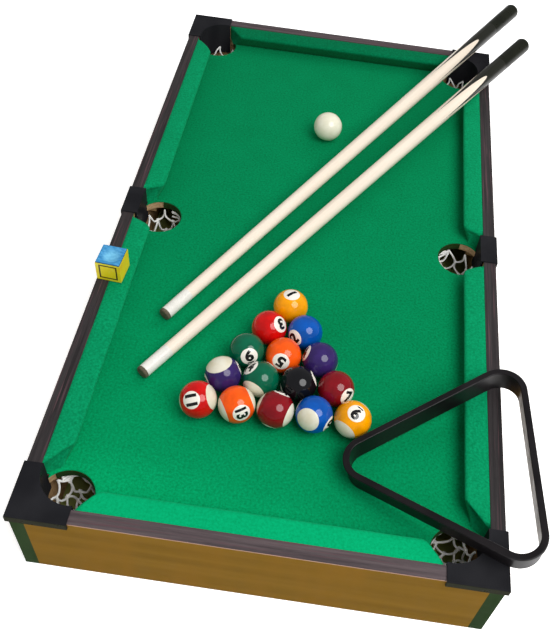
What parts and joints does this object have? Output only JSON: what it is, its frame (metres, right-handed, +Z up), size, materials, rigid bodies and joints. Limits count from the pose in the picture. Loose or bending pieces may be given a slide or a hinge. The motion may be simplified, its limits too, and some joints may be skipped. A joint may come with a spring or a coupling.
{
  "type": "mini pool table",
  "caption": "Table-top pool table: wooden cabinet, cloth bed and cushions, net pockets under black caps, with balls, cues, a triangle rack and a chalk cube.",
  "frame": {"origin": "on the floor plane, under the middle of the cabinet, on the bottom face of the centre rib", "axes": "+X across the table to its right side, +Y along the table to its far end, +Z up"},
  "size_m": [0.3407, 0.6313, 0.0919],
  "materials": {
    "panel_laminate": "satin ochre wood-grain laminate",
    "rail_laminate": "satin dark wood-grain laminate",
    "guard_plastic": "matte",
    "raw_wood": "raw",
    "raw_board": "raw fibreboard",
    "screw_steel": "zinc plated",
    "green_cloth": "napped felt",
    "cap_plastic": "satin",
    "net_cord": "knotted cord",
    "ball_ivory": "polished",
    "ball_yellow": "polished",
    "ball_blue": "polished",
    "ball_red": "polished",
    "ball_purple": "polished",
    "ball_orange": "polished",
    "ball_green": "polished",
    "ball_maroon": "polished",
    "ball_black": "polished",
    "cue_leather": "matt",
    "cue_ferrule": "satin",
    "cue_maple": "clear varnish",
    "cue_black": "gloss black lacquer",
    "rack_plastic": "satin",
    "chalk_blue": "matt pressed chalk",
    "chalk_paper": "printed paper"
  },
  "bodies": {
    "table": {"front_panel": "panel_laminate", "rear_panel": "panel_laminate", "left_panel": "panel_laminate", "right_panel": "panel_laminate", "front_rail": "rail_laminate", "rear_rail": "rail_laminate", "left_rail": "rail_laminate", "right_rail": "rail_laminate", "corner_guards": "guard_plastic", "corner_blocks": "raw_wood", "bed_ledgers": "raw_wood", "ledger_screws": "screw_steel", "centre_rib": "raw_board", "bed_board": "raw_board", "bed_cloth": "green_cloth", "front_left_cushion": "green_cloth", "front_right_cushion": "green_cloth", "rear_left_cushion": "green_cloth", "rear_right_cushion": "green_cloth", "front_end_cushion": "green_cloth", "rear_end_cushion": "green_cloth", "front_left_cap": "cap_plastic", "front_right_cap": "cap_plastic", "rear_left_cap": "cap_plastic", "rear_right_cap": "cap_plastic", "left_side_cap": "cap_plastic", "right_side_cap": "cap_plastic", "front_left_net": "net_cord", "front_right_net": "net_cord", "rear_left_net": "net_cord", "rear_right_net": "net_cord", "left_side_net": "net_cord", "right_side_net": "net_cord"},
    "cue_ball": {"cue_ball": "ball_ivory"},
    "ball_1": {"ball_1": "ball_yellow"},
    "ball_3": {"ball_3": "ball_red"},
    "ball_2": {"ball_2": "ball_blue"},
    "ball_6": {"ball_6": "ball_green"},
    "ball_5": {"ball_5": "ball_orange"},
    "ball_4": {"ball_4": "ball_purple"},
    "ball_12": {"ball_12": "ball_purple"},
    "ball_14": {"ball_14": "ball_green"},
    "ball_8": {"ball_8": "ball_black"},
    "ball_7": {"ball_7": "ball_maroon"},
    "ball_11": {"ball_11": "ball_red"},
    "ball_13": {"ball_13": "ball_orange"},
    "ball_15": {"ball_15": "ball_maroon"},
    "ball_10": {"ball_10": "ball_blue"},
    "ball_9": {"ball_9": "ball_yellow"},
    "cue_1": {"cue_1_tip": "cue_leather", "cue_1_ferrule": "cue_ferrule", "cue_1_shaft": "cue_maple", "cue_1_butt": "cue_black"},
    "cue_2": {"cue_2_tip": "cue_leather", "cue_2_ferrule": "cue_ferrule", "cue_2_shaft": "cue_maple", "cue_2_butt": "cue_black"},
    "rack": {"rack": "rack_plastic"},
    "chalk": {"chalk_block": "chalk_blue", "chalk_wrapper": "chalk_paper"}
  },
  "joints": [
    {"name": "cue_ball_lift", "type": "slide", "parent": "table", "child": "cue_ball", "axis": [0, 0, 1], "range_m": [0, 0.06]},
    {"name": "ball_1_lift", "type": "slide", "parent": "table", "child": "ball_1", "axis": [0, 0, 1], "range_m": [0, 0.06]},
    {"name": "ball_3_lift", "type": "slide", "parent": "table", "child": "ball_3", "axis": [0, 0, 1], "range_m": [0, 0.06]},
    {"name": "ball_2_lift", "type": "slide", "parent": "table", "child": "ball_2", "axis": [0, 0, 1], "range_m": [0, 0.06]},
    {"name": "ball_6_lift", "type": "slide", "parent": "table", "child": "ball_6", "axis": [0, 0, 1], "range_m": [0, 0.06]},
    {"name": "ball_5_lift", "type": "slide", "parent": "table", "child": "ball_5", "axis": [0, 0, 1], "range_m": [0, 0.06]},
    {"name": "ball_4_lift", "type": "slide", "parent": "table", "child": "ball_4", "axis": [0, 0, 1], "range_m": [0, 0.06]},
    {"name": "ball_12_lift", "type": "slide", "parent": "table", "child": "ball_12", "axis": [0, 0, 1], "range_m": [0, 0.06]},
    {"name": "ball_14_lift", "type": "slide", "parent": "table", "child": "ball_14", "axis": [0, 0, 1], "range_m": [0, 0.06]},
    {"name": "ball_8_lift", "type": "slide", "parent": "table", "child": "ball_8", "axis": [0, 0, 1], "range_m": [0, 0.06]},
    {"name": "ball_7_lift", "type": "slide", "parent": "table", "child": "ball_7", "axis": [0, 0, 1], "range_m": [0, 0.06]},
    {"name": "ball_11_lift", "type": "slide", "parent": "table", "child": "ball_11", "axis": [0, 0, 1], "range_m": [0, 0.06]},
    {"name": "ball_13_lift", "type": "slide", "parent": "table", "child": "ball_13", "axis": [0, 0, 1], "range_m": [0, 0.06]},
    {"name": "ball_15_lift", "type": "slide", "parent": "table", "child": "ball_15", "axis": [0, 0, 1], "range_m": [0, 0.06]},
    {"name": "ball_10_lift", "type": "slide", "parent": "table", "child": "ball_10", "axis": [0, 0, 1], "range_m": [0, 0.06]},
    {"name": "ball_9_lift", "type": "slide", "parent": "table", "child": "ball_9", "axis": [0, 0, 1], "range_m": [0, 0.06]},
    {"name": "cue_1_lift", "type": "slide", "parent": "table", "child": "cue_1", "axis": [0, 0, 1], "range_m": [0, 0.1]},
    {"name": "cue_2_lift", "type": "slide", "parent": "table", "child": "cue_2", "axis": [0, 0, 1], "range_m": [0, 0.1]},
    {"name": "rack_lift", "type": "slide", "parent": "table", "child": "rack", "axis": [0, 0, 1], "range_m": [0, 0.08]},
    {"name": "chalk_lift", "type": "slide", "parent": "table", "child": "chalk", "axis": [0, 0, 1], "range_m": [0, 0.06]}
  ]
}
